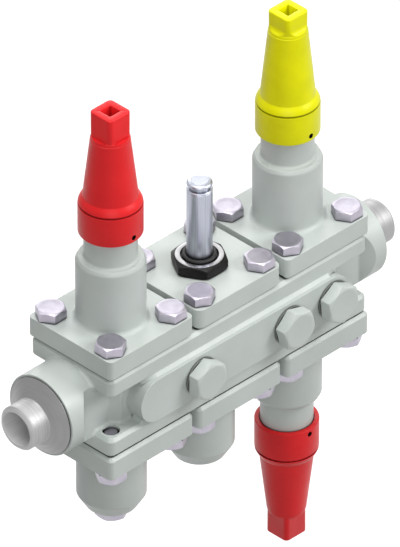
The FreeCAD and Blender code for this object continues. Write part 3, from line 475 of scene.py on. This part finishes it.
def fillet_along(path, aside, up, radius=FILLET, steps=7):
    """Concave fillet carried along a path that lies in an inside corner. At each point, aside and up are the unit
    vectors that leave the corner along its two faces. The section's arc has its centre one radius out along
    both, so its points are at radius (1 - sin t, 1 - cos t). The radius may change along the path. Its back is
    sunk into the corner."""
    path, aside, up = (np.asarray(a, float) for a in (path, aside, up))
    radius = np.broadcast_to(radius, len(path))[:, None, None]
    turn = np.linspace(0, math.pi / 2, steps)
    arc = np.stack([1 - np.sin(turn), 1 - np.cos(turn)], axis=-1)
    outline = np.concatenate([
        np.broadcast_to([-SUNK, -SUNK], (len(path), 1, 2)),
        radius * [1, 0] + [0, -SUNK],
        radius * arc,
        radius * [0, 1] + [-SUNK, 0],
    ], axis=1)
    rings = path[:, None] + outline[..., :1] * aside[:, None] + outline[..., 1:] * up[:, None]
    return skin(rings, "fillet")


def flat_normals(path):
    """Unit vectors square to a path in the XY plane, on its left."""
    along = np.gradient(path, axis=0)
    along /= np.linalg.norm(along, axis=1)[:, None]
    return np.stack([-along[:, 1], along[:, 0], 0 * along[:, 0]], axis=-1)


def land_wedge(steps=14):
    """Casting fillet that fills the narrowing gap between a land's round end and the slab over it. A ball of the
    fillet's radius that touches both has its centre at height slab face - radius, and beside the land's axis by
    sqrt((R + r)^2 - (R - r)^2) = 2 sqrt(R r). The front turns from the slab's chamfer into the land's flare."""
    aside = 2 * math.sqrt(SLAB_FACE * FILLET)
    centre = np.array([-aside, SLAB_FACE - FILLET])
    end = math.atan2(-centre[1], aside)
    turn = np.linspace(math.pi / 2, end, steps)
    around = np.linspace(math.pi + end, math.pi / 2, steps)[1:]
    low = np.concatenate([centre + FILLET * np.column_stack([np.cos(turn), np.sin(turn)]),
                          (SLAB_FACE - 2 * HAIR) * np.column_stack([np.cos(around), np.sin(around)])])
    high = np.linspace(-aside, 0, len(low))
    back, rim, top = (np.full(len(low), value) for value in (CORE - SUNK, SLAB_SIDE - HAIR, SLAB_FACE + FILLET))
    front = SLAB_SIDE - CHAMFER - HAIR + 2 * FILLET * (1 + low[:, 0] / aside)
    return np.stack([np.column_stack([low[:, 0], back, low[:, 1]]), np.column_stack([low[:, 0], front, low[:, 1]]),
                     np.column_stack([high, rim, top]), np.column_stack([high, back, top])], axis=1)


def waist_line(climb=16, swing=4, edge=3):
    """Line in which a boss and its flat meet the slab over them, from the boss's top on. It goes down the slab's
    end, round the slab's chamfer, along the waist and in to the core. Gives the points, the two face directions
    there, and the fillet's radius, which runs out where the boss comes up to the slab's outer face. climb, swing
    and edge count the points on the boss, at the flat's corner and on each edge of the chamfer."""
    rise = np.linspace(math.radians(77), math.acos(WAIST / BOSS), climb)
    out = np.concatenate([rise, np.linspace(rise[-1], 0, swing + 1)[1:], np.zeros(2 * edge)])
    aside = np.column_stack([0 * out, np.cos(out), np.sin(out)])
    points = np.concatenate([
        BOSS * aside[:climb] + [SLAB_END, 0, 0],
        np.tile([SLAB_END, WAIST, BOSS * math.sin(rise[-1])], (swing, 1)),
        np.tile([SLAB_END, WAIST, SLAB_FACE + CHAMFER], (edge, 1)),
        np.tile([SLAB_END + CHAMFER, WAIST, SLAB_FACE], (edge, 1)),
    ])
    half_way = math.pi / 4
    lean = np.concatenate([np.zeros(climb + swing), np.linspace(0, half_way, edge),
                           np.linspace(half_way, 2 * half_way, edge)])
    up = np.column_stack([-np.cos(lean), 0 * lean, -np.sin(lean)])
    along = rounded([(SLAB_END + CHAMFER, WAIST), (STEP[0], WAIST), (STEP[1], CORE), (LAND_CENTRE, CORE)], FILLET, 6)
    along = np.column_stack([along, np.full(len(along), SLAB_FACE)])
    points = np.concatenate([points, along[1:]])
    aside = np.concatenate([aside, flat_normals(along)[1:]])
    up = np.concatenate([up, np.tile([0.0, 0.0, -1.0], (len(along) - 1, 1))])
    radius = np.full(len(points), FILLET)
    radius[:climb] = np.minimum(FILLET, (HALF_HEIGHT - CHAMFER) / np.sin(rise) - BOSS)
    return points - [HOUSING_MIDDLE, 0, 0], aside, up, radius


def housing_fillets():
    """Casting fillets where the bosses, the waist and the lands meet the slabs."""
    made = []
    line, line_aside, line_up, line_radius = waist_line()
    land = [LAND_CENTRE - HOUSING_MIDDLE, 0, 0]
    arc = np.linspace(math.pi / 2, 3 * math.pi / 2, 24)
    outwards = np.column_stack([np.cos(arc), 0 * arc, np.sin(arc)])
    ends = SLAB_FACE * outwards + land + [0, CORE, 0]
    wedge = land_wedge() + land
    for end in (1, -1):
        for side in (1, -1):
            mirror = np.array([end, side, 1])
            made.append(fillet_along(ends * mirror, outwards * mirror, np.tile([0, side, 0], (len(arc), 1))))
            for level in (1, -1):
                mirror = np.array([end, side, level])
                made.append(fillet_along(line * mirror, line_aside * mirror, line_up * mirror, line_radius))
                made.append(skin(wedge * mirror, "wedge"))
    whole = joined("housing_fillets", made)
    faced_outwards(whole)
    placed(whole, HOUSING_MIDDLE)
    piece("housing_fillets", whole, [green_steel], "root")


housing_fillets()


# Pipe ends

STUB, CONE_END, PIPE_END = 13 * MM, 19.5 * MM, 23.5 * MM
PIPE, PIPE_BORE, SPIGOT = 13.45 * MM, 10.55 * MM, 12.4 * MM
BEVEL = 1.6 * MM


def pipe_end(name, x, up):
    """Butt-weld end turned from bar: bevel, stub, a small root round, the cone, and its collar in the boss. Its
    outline is closed in the bore, where a band of faces joins the last ring to the first."""
    outline = section([
        (PIPE_BORE, 1 * MM, 0), (PIPE_BORE, 0, 0.3 * MM), (PIPE - BEVEL, 0, 0.15 * MM), (PIPE, BEVEL, 0.3 * MM),
        (PIPE, STUB, 0.8 * MM), (BOSS, CONE_END, 0.5 * MM), (SPIGOT, CONE_END, 0), (SPIGOT, PIPE_END, 0.3 * MM),
        (PIPE_BORE, PIPE_END, 0.3 * MM), (PIPE_BORE, 1 * MM, 0)], 4)[:-1]
    angle = np.linspace(0, ROUND, 128, endpoint=False)
    mesh = mesh_from(name, ring(angle, outline[:, :1], outline[:, 1:]), grid_faces(len(outline), len(angle)))
    faced_outwards(mesh, bridge=True)
    laid(mesh, [[0, 0, -up], [0, 1, 0], [up, 0, 0]])
    placed(mesh, x)
    middles = face_middles(mesh)
    reach = np.hypot(middles[:, 1], middles[:, 2])
    depth = (middles[:, 0] - x) * up
    on_cone = (reach > PIPE + 0.3 * MM) & (depth > STUB - 1 * MM)
    in_bore = (reach < PIPE_BORE + HAIR) & (depth > 0.1 * MM)
    # Cone faces take the darker painted-shade copy of the steel, bore faces the near-white painted-light copy.
    mesh.polygons.foreach_set("material_index", (on_cone + 2 * in_bore).astype(np.int32))
    piece(f"{name}_turned", mesh, [pipe_bright, cone_grey, bore_matt], "root", [name])


pipe_end("inlet_pipe_end", 0.0, 1)
pipe_end("outlet_pipe_end", 2 * HOUSING_MIDDLE, -1)


# Hexagon heads: cover bolts, port plugs, drain plug and tube nut

THREAD_PITCH, THREAD_DEPTH, THREAD_CHAMFER = 1.5 * MM, 0.6 * MM, 1.2 * MM
FACE_SHARE = 0.475
HALF_FLAT = math.radians(30)


def hexagon_head(flats, height, foot=0.0, corner=0.35 * MM, both=False):
    """Rows of a hexagon head. Each flat ends where the 30 degree chamfer cone meets it: the cone has the face's
    radius at the top and is lower further out, so that the edge is a curve over every flat. Its edges are eased
    over about 0.1 mm. both gives the foot a chamfer too."""
    angle = round_angles()
    reach = polygon_reach(angle, 6, flats / 2, corner)
    face = flats * FACE_SHARE
    drop = np.maximum(reach - face, 0) * math.tan(math.radians(30))
    inner = np.minimum(reach, face)
    rows = [ring(angle, inner, foot), ring(angle, reach, foot + drop)] if both else [ring(angle, reach, foot)]
    rows += [
        ring(angle, reach, height - drop - 0.12 * MM),
        ring(angle, reach - 0.08 * MM, height - drop + 0.02 * MM),
        ring(angle, inner + 0.05 * MM, height - 0.05 * MM),
        ring(angle, inner - 0.15 * MM, height),
    ]
    return angle, rows


def threaded_shank(radius, length, plain):
    """Bolt shank from z = -length up to 0. The thread's depth goes round with the angle and the height, one turn
    for each pitch, and fades at the chamfered end. The rest, plain long, is a cylinder."""
    angle = np.linspace(0, ROUND, 48, endpoint=False)
    heights = np.arange(-length, -plain, THREAD_PITCH / 8)[:, None]
    phase = (heights / THREAD_PITCH - angle / ROUND) % 1
    depth = THREAD_DEPTH * (1 - np.abs(2 * phase - 1))
    end = np.clip((heights + length) / THREAD_CHAMFER, 0, 1)
    reach = (radius - depth) * (0.8 + 0.2 * end)
    smooth = np.array([[-plain], [0]])
    return skin(np.concatenate([ring(angle, reach, heights), ring(angle, radius + 0 * smooth, smooth)]), "shank")


def bolt_mesh(flats, height, radius, length, washer):
    """Hexagon bolt or plug, its seat at z = 0: washer face, head with a dished top, and threaded shank."""
    angle, rows = hexagon_head(flats, height, washer)
    rim = flats * 0.47
    rows = [ring(angle, rim, 0), ring(angle, rim, washer)] + rows
    dish = [(0.40, -0.03 * MM), (0.36, -0.12 * MM), (0.2, -0.16 * MM), (0.02, -0.16 * MM)]
    rows += [ring(angle, flats * share, height + sink) for share, sink in dish]
    return [skin(rows, "head"), threaded_shank(radius, length, min(4 * MM, length / 3))]


BOLT = {"flats": 16 * MM, "height": 6.2 * MM, "radius": 4.9 * MM, "length": 25 * MM, "washer": 0.5 * MM}
PORT_PLUG = {"flats": 22 * MM, "height": 8.1 * MM, "radius": 8.1 * MM, "length": 10 * MM, "washer": 0.4 * MM}
DRAIN_PLUG = {"flats": 17 * MM, "height": 6.5 * MM, "radius": 6.4 * MM, "length": 9.5 * MM, "washer": 0.4 * MM}
BOLT_OFFSET, COVER_FACE = 23.7 * MM, 40.5 * MM
PORT_FACE, DRAIN_FACE = 37.6 * MM, 89 * MM
# Where each plug is along the pipe, and how many degrees past upright it stopped when it was tightened
PORTS = {109.5 * MM: 0, 179.5 * MM: 14, 214.5 * MM: 4}


def cover_bolts(node, up):
    """Four bolts of one cover. Two of them stand turned by half a flat, as in the drawing."""
    x = axis_of(node)
    made = []
    for across in (1, -1):
        for away in (1, -1):
            turn = HALF_FLAT if across * up == away else 0.0
            for part in bolt_mesh(**BOLT):
                spot = x + across * BOLT_OFFSET, away * BOLT_OFFSET
                made.append(placed(part, *spot, up * COVER_FACE, up, turn))
    piece(f"{node}_hexagon_bolts", joined("bolts", made), [zinc], "root", [f"{node}_bolts"])


def port_plugs():
    """Hexagon plugs in the land's service ports, heads to the front."""
    made = []
    for x, turn in PORTS.items():
        for part in bolt_mesh(**PORT_PLUG):
            placed(part, turn=math.radians(turn))
            laid(part, [[0, 0, 1], [-1, 0, 0], [0, -1, 0]])
            made.append(placed(part, x, -PORT_FACE))
    piece("service_port_hexagon_plugs", joined("plugs", made), [green_steel], "root",
          ["service_port_plugs"])


def drain_plug():
    """Hexagon plug under the filter cup."""
    parts = [placed(part, axis_of("filter_cup"), 0, -DRAIN_FACE, -1, HALF_FLAT) for part in bolt_mesh(**DRAIN_PLUG)]
    piece("filter_drain_hexagon_plug", joined("drain", parts), [zinc], "root", ["filter_drain_plug"])


for node, up in COVERS.items():
    cover_bolts(node, up)
port_plugs()
drain_plug()


# Solenoid valve's tube, core and nut. Their sections are in millimetres.

NUT_HEIGHT = 7.5 * MM
# Radius and depth of the steps round the tube
NUT_RECESS = [(11.1, 0), (10.7, 0.15), (10.5, 0.5), (10.4, 1.2), (7.7, 1.2), (7.55, 1.4), (7.55, 6)]
# Radius, height and rounding
TUBE_SECTION = [(6.5, 45.2, 0), (7.4, 45.2, 0.2), (7.4, 91.9, 0.3), (7.15, 92.2, 0.2), (7.4, 92.5, 0.1),
                (7.4, 92.9, 0.25), (6.9, 93.4, 0.2), (5.6, 93.4, 0)]
HEAD_SECTION = [(5.8, 80.1, 0), (5.8, 96.1, 0.3), (7.35, 96.2, 0.2), (7.35, 97.1, 0.9), (6.7, 98.0, 1.6),
                (4.8, 98.4, 0.1), (4.6, 98.32, 0.1), (0.2, 98.32, 0)]


def tube_nut():
    """Hexagon nut chamfered on both faces, with a stepped recess round the tube. The outer ring of its top face is
    bright steel, a painted highlight where light falls on the top.
    """
    x = axis_of("tube_nut")
    angle, rows = hexagon_head(29 * MM, NUT_HEIGHT, both=True, corner=0.6 * MM)
    rows += [ring(angle, r * MM, NUT_HEIGHT - d * MM) for r, d in NUT_RECESS]
    mesh = placed(skin(rows, "nut"), x, 0, COVER_FACE)
    middles = face_middles(mesh)
    reach = np.hypot(middles[:, 0] - x, middles[:, 1])
    # Painted highlight: the up-facing outer ring of the top face gets the bright steel.
    worn = (middles[:, 2] > COVER_FACE + NUT_HEIGHT - 0.06 * MM) & (reach > 10.6 * MM)
    mesh.polygons.foreach_set("material_index", worn.astype(np.int32))
    piece("tube_nut_hexagon", mesh, [nut_black, nut_worn], "root", ["tube_nut"])


def armature_tube():
    """Drawn tube whose rolled edge grips the core, and the core's grooved head over it."""
    x = axis_of("armature_tube")
    tube = turned(section(TUBE_SECTION, 4) * MM, name="tube")
    piece("armature_tube_drawn", placed(tube, x), [tube_drawn], "root", ["armature_tube"])
    head = turned(section(HEAD_SECTION, 6) * MM, name="head")
    piece("fixed_core_head", placed(head, x), [tube_drawn], "root", ["fixed_core"])


tube_nut()
armature_tube()


# Caps over the spindles

CAP_EDGE, CAP_TOP = 99.7 * MM, 179.7 * MM
SKIRT, NECK, CAP_FLOOR = 18.5 * MM, 15.35 * MM, 115 * MM
CAVITY, CAVITY_TOP, CAVITY_TOP_RADIUS = 13 * MM, 158 * MM, 8.5 * MM
CREASE, CREASE_DEPTH = 118.9 * MM, 1.1 * MM
SHOULDER, SHOULDER_RADIUS = 124.1 * MM, 15.75 * MM
CONE_TOP = {"inlet_stop": 161.9 * MM, "outlet_stop": 161.9 * MM, "regulating": 166.6 * MM}
CONE_RADIUS, LEDGE_RADIUS, LEDGE = 11.4 * MM, 10.9 * MM, 2 * MM
FLATS, FLAT_CORNER, SOCKET, SOCKET_CORNER = 17 * MM, 2.8 * MM, 8 * MM, 0.4 * MM
SCOOP, SCOOP_DEPTH = 3.2 * MM, 3.1 * MM
VENT_RADIUS, VENT_HEIGHT = 1.6 * MM, 103.0 * MM
FIRST_CORNER = math.pi / 4


def square_ring(angle, apothem, corner, height, bound=1.0):
    """Ring round a rounded square, kept within a bound round the axis."""
    return ring(angle, np.minimum(polygon_reach(angle, 4, apothem, corner, FIRST_CORNER), bound), height)


def cap_rows(name, angle):
    """Rings of a cap from the middle of its inside, down, round the skirt and up to the socket's floor. The
    section is round up to the cone's top and a rounded square over it. The regulating cap's flats run out in
    hollow arcs: their apothem grows by R - sqrt(R^2 - d^2) at a depth d under the flat's foot. The stop caps'
    flats end on a small ledge."""
    cone = CONE_TOP[name]
    groove = SKIRT - CREASE_DEPTH
    body = section([
        (0.2 * MM, CAVITY_TOP, 0), (CAVITY_TOP_RADIUS, CAVITY_TOP, 2 * MM), (CAVITY, CAP_FLOOR, 1 * MM),
        (NECK, CAP_FLOOR, 0.2 * MM), (NECK, CAP_EDGE, 0.6 * MM), (SKIRT, CAP_EDGE, 0.6 * MM),
        (SKIRT, CREASE - 0.8 * MM, 0.15 * MM), (groove, CREASE - 0.5 * MM, 0.1 * MM),
        (groove, CREASE + 0.4 * MM, 0.1 * MM), (SKIRT - 0.1 * MM, CREASE + 0.6 * MM, 0.25 * MM),
        (17.4 * MM, 121.9 * MM, 9 * MM), (SHOULDER_RADIUS, SHOULDER, 0.25 * MM), (CONE_RADIUS, cone, 0)], 6)
    rows = list(ring(angle, body[:, :1], body[:, 1:]))
    foot, ledge = cone + LEDGE, LEDGE_RADIUS - 0.05 * MM
    rows += [ring(angle, CONE_RADIUS - 0.25 * MM, cone + 0.12 * MM),
             ring(angle, LEDGE_RADIUS + 0.1 * MM, foot - 0.35 * MM), ring(angle, ledge, foot)]
    bound = ledge - 0.05 * MM
    if name == "regulating":
        for depth in np.linspace(SCOOP_DEPTH, 0, 10):
            run = SCOOP - math.sqrt(SCOOP ** 2 - depth ** 2)
            level = foot + SCOOP_DEPTH - depth + 0.05 * MM
            rows.append(square_ring(angle, FLATS / 2 + run, FLAT_CORNER, level, bound))
    else:
        for out, rise in ((0.45, 0.03), (0.12, 0.15), (0, 0.5)):
            rows.append(square_ring(angle, FLATS / 2 + out * MM, FLAT_CORNER, foot + rise * MM, bound))
    for ease, drop in ((0, 0.6), (0.1, 0.28), (0.28, 0.08), (0.6, 0)):
        rows.append(square_ring(angle, FLATS / 2 - ease * MM, FLAT_CORNER - ease * MM, CAP_TOP - drop * MM))
    for wide, drop in ((0.35, 0), (0.12, 0.08), (0, 0.3), (0, 10)):
        rows.append(square_ring(angle, SOCKET / 2 + wide * MM, SOCKET_CORNER, CAP_TOP - drop * MM))
    return rows


def cap(name, up):
    """Hollow cap, turned as a whole and screwed over the neck, with a vent drilled through its coating."""
    node = f"{name}_cap"
    paint, slot = (yellow_coat, "yellow_cap") if name == "regulating" else (red_coat, "red_cap")
    mesh = skin(cap_rows(name, round_angles(4, 40, FIRST_CORNER)), node)
    mesh.materials.append(paint)
    drill = turned([(VENT_RADIUS, -SKIRT - 1 * MM), (VENT_RADIUS, -NECK + 1 * MM)], 32)
    # The vent's walls take the near-black painted shade.
    drill.materials.append(vent_dark)
    placed(laid(drill, [[1, 0, 0], [0, 0, -1], [0, 1, 0]]), 0, 0, VENT_HEIGHT)
    tool, blank = linked("drill", drill), linked("blank", mesh)
    hole = blank.modifiers.new("vent", "BOOLEAN")
    hole.operation = "DIFFERENCE"
    hole.object = tool
    hole.solver = "EXACT"
    hole.material_mode = "TRANSFER"
    bpy.context.view_layer.update()
    cut = bpy.data.meshes.new_from_object(blank.evaluated_get(bpy.context.evaluated_depsgraph_get()))
    bpy.data.objects.remove(blank)
    bpy.data.objects.remove(tool)
    placed(cut, axis_of(node), 0, 0, up)
    piece(f"{name}_cap_coated", cut, [paint, vent_dark], f"{name}_cap_body", [node])


for name, up in HAND_VALVES.items():
    cap(name, up)


# Floor, lights and camera

FLOOR_LEVEL, FLOOR_HALF = -0.25, 6.0
WHITE = (1, 1, 1, 1)


def seen_directly(owner):
    """1 for rays from the camera, in a reflection or through glass, and 0 for those that carry light on."""
    rays = add(owner, "ShaderNodeLightPath")
    seen = rays.outputs["Is Camera Ray"]
    for kind in ("Is Glossy Ray", "Is Transmission Ray"):
        seen = add(owner, "ShaderNodeMath", {0: seen, 1: rays.outputs[kind]}, operation="MAXIMUM").outputs[0]
    return seen


def grey(level):
    """Neutral colour of one linear level, with alpha."""
    return (level, level, level, 1)


def floor():
    """Large pale floor well under the part, which hangs in its pipes. The camera sees it white, less the shadow."""
    mesh = mesh_from("floor", [(x * FLOOR_HALF, y * FLOOR_HALF, FLOOR_LEVEL)
                               for x, y in ((-1, -1), (1, -1), (1, 1), (-1, 1))], [[0, 1, 2, 3]])
    material = bpy.data.materials.new("pale_floor")
    material.use_nodes = True
    material.node_tree.nodes.clear()
    matt = add(material, "ShaderNodeBsdfDiffuse", {"Color": grey(0.35)})
    glow = add(material, "ShaderNodeEmission", {"Color": WHITE, "Strength": 0.8})
    lit = add(material, "ShaderNodeAddShader", {0: matt.outputs[0], 1: glow.outputs[0]})
    plain = add(material, "ShaderNodeBsdfDiffuse", {"Color": grey(0.3)})
    both = add(material, "ShaderNodeMixShader", {0: seen_directly(material), 1: plain.outputs[0], 2: lit.outputs[0]})
    add(material, "ShaderNodeOutputMaterial", {"Surface": both.outputs[0]})
    mesh.materials.append(material)
    linked("floor", mesh)


def surroundings():
    """Even white room: full white to the camera and in reflections, dimmer as a source of light."""
    world = bpy.data.worlds.new("room")
    bpy.context.scene.world = world
    world.use_nodes = True
    world.node_tree.nodes.clear()
    strength = add(world, "ShaderNodeMapRange", {"Value": seen_directly(world), "To Min": 0.2, "To Max": 1.0})
    light = add(world, "ShaderNodeBackground", {"Color": WHITE, "Strength": strength.outputs["Result"]})
    add(world, "ShaderNodeOutputWorld", {"Surface": light.outputs[0]})


def aimed(name, data, towards, distance, target):
    """Lamp or camera at a distance from its target, looking back along the direction towards it."""
    direction = np.array(towards, float) / np.linalg.norm(towards)
    made = linked(name, data)
    made.location = np.array(target) + direction * distance
    made.rotation_euler = Vector(direction).to_track_quat("Z", "Y").to_euler()
    return made


def lamp(name, towards, distance, size, strength):
    """Soft square lamp aimed at the part. Its strength is the irradiance that it gives there, over pi."""
    data = bpy.data.lights.new(name, "AREA")
    data.shape = "SQUARE"
    data.size = size
    data.energy = strength * math.pi * math.pi * distance ** 2
    aimed(name, data, towards, distance, [HOUSING_MIDDLE, 0, 0])


def camera():
    """Long lens far away on the isometric line, so that its picture is nearly a parallel projection."""
    picture_height, focal, sensor = 0.30696, 1200.0, 36.0
    data = bpy.data.cameras.new("view")
    data.sensor_fit = "VERTICAL"
    data.sensor_height = sensor
    data.lens = focal
    data.clip_end = 50
    distance = picture_height * focal / sensor
    bpy.context.scene.camera = aimed("view", data, (-1, -1, 1), distance, [0.1449, 0.0, 0.03415])


floor()
surroundings()
lamp("key", (0.48, -0.66, 0.58), 1.6, 0.7, 0.5)
lamp("top", (-0.1, 0.0, 1.0), 1.5, 1.2, 0.74)
lamp("rear", (0.55, 0.75, 0.36), 1.8, 1.2, 0.28)
lamp("front", (-0.6, -0.68, 0.42), 1.6, 1.0, 0.28)
camera()
bpy.context.scene.view_settings.view_transform = "Standard"
